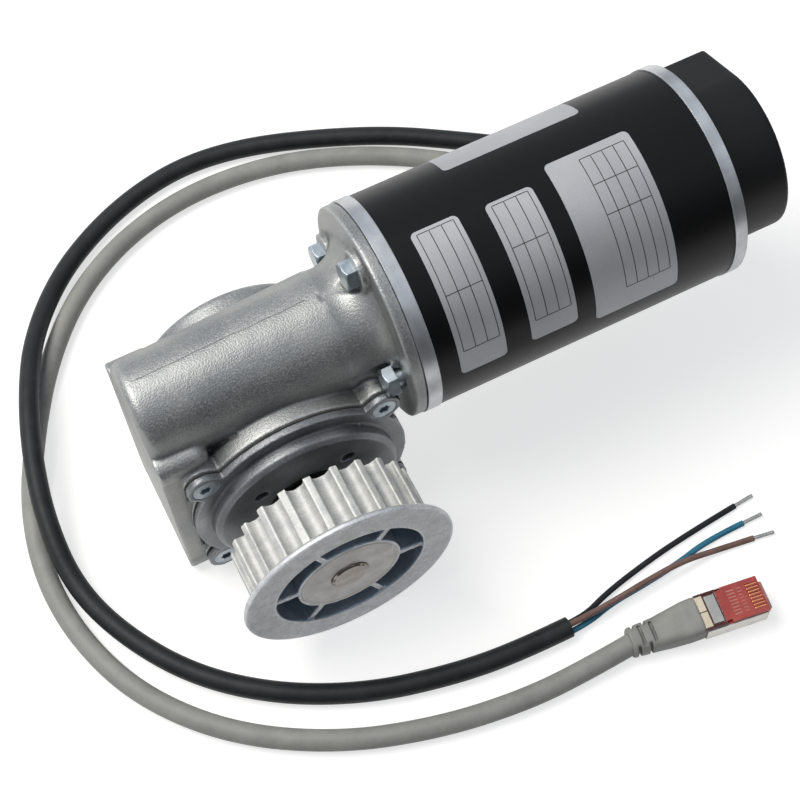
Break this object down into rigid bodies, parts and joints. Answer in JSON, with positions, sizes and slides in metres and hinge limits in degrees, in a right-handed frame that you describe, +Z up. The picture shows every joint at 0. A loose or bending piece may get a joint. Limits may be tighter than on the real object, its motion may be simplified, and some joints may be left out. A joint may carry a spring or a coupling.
{
  "type": "brushless worm gearmotor",
  "caption": "Brushless motor with encoder cap, right-angle worm gearbox, toothed belt pulley, and loose power and signal cables.",
  "frame": {"origin": "centre of the four mounting holes on the flat end face of the gearbox, level with the output axis", "axes": "+X along the motor axis from the mounting face to the rear cap, the pulley faces -Y, +Z up; the output axis is at X 37 mm and the motor axis at Z 31.5 mm"},
  "size_m": [0.2355, 0.2284, 0.0958],
  "materials": {
    "cast_aluminium": "die cast, bead blasted",
    "machined_aluminium": "turned",
    "gasket_paper": "matte",
    "zinc_steel": "zinc plated",
    "ground_steel": "ground",
    "bronze": "machined bronze",
    "pulley_metal": "cast, lightly polished",
    "seal_rubber": "matte",
    "black_paint": "satin black",
    "black_cap": "moulded, fine grain",
    "electrical_steel": "stamped laminations",
    "copper": "enamelled wire",
    "white_plastic": "moulded",
    "magnet": "ground ferrite",
    "board": "coated laminate",
    "black_chip": "moulded",
    "code_disc": "film",
    "black_rubber": "matte",
    "black_jacket": "matte jacket",
    "grey_jacket": "matte jacket",
    "core_black": "insulation",
    "core_blue": "insulation",
    "core_brown": "insulation",
    "tinned_copper": "tinned",
    "grey_boot": "moulded",
    "red_clear": "clear red",
    "plug_sheet": "nickel plated",
    "gold": "gold plated"
  },
  "bodies": {
    "gearmotor": {"gearbox_housing": "cast_aluminium", "output_cover": "cast_aluminium", "cover_gasket": "gasket_paper", "cover_screws": "zinc_steel", "flange_screws": "zinc_steel", "output_seal": "seal_rubber", "output_bearing_outer_rings": "ground_steel", "rotor_bearing_outer_rings": "ground_steel", "motor_shaft_seal": "seal_rubber", "front_end_shield": "machined_aluminium", "motor_tube": "black_paint", "rear_end_shield": "machined_aluminium", "rear_cap": "black_cap", "cap_screws": "zinc_steel", "stator_core": "electrical_steel", "stator_insulators": "white_plastic", "stator_windings": "copper", "preload_washer": "ground_steel", "sensor_board": "board", "hall_sensors": "black_chip", "encoder_board": "board", "encoder_sensor": "black_chip", "power_grommet": "black_rubber", "signal_grommet": "black_rubber", "power_cable": "black_jacket", "signal_cable": "grey_jacket", "core_black": "core_black", "core_blue": "core_blue", "core_brown": "core_brown", "core_tips": "tinned_copper", "plug_boot": "grey_boot", "plug_body": "red_clear", "plug_shield": "plug_sheet", "plug_contacts": "gold"},
    "rotor": {"motor_shaft": "ground_steel", "worm": "ground_steel", "rotor_core": "electrical_steel", "rotor_magnets": "magnet", "retaining_ring": "ground_steel", "rotor_bearing_inner_rings": "ground_steel", "encoder_disc": "code_disc", "encoder_hub": "machined_aluminium"},
    "output": {"output_shaft": "ground_steel", "worm_wheel_rim": "bronze", "wheel_hub": "ground_steel", "wheel_key": "ground_steel", "pulley": "pulley_metal", "output_bearing_inner_rings": "ground_steel"}
  },
  "joints": [
    {"name": "output_spin", "type": "hinge", "parent": "gearmotor", "child": "output", "pos_m": [0.037, 0, 0], "axis": [0, -1, 0], "continuous": true},
    {"name": "rotor_spin", "type": "hinge", "parent": "gearmotor", "child": "rotor", "pos_m": [0.1, 0, 0.0315], "axis": [1, 0, 0], "continuous": true}
  ],
  "couplings": [
    {"joint": "rotor_spin", "follows": "output_spin", "ratio": 15}
  ]
}
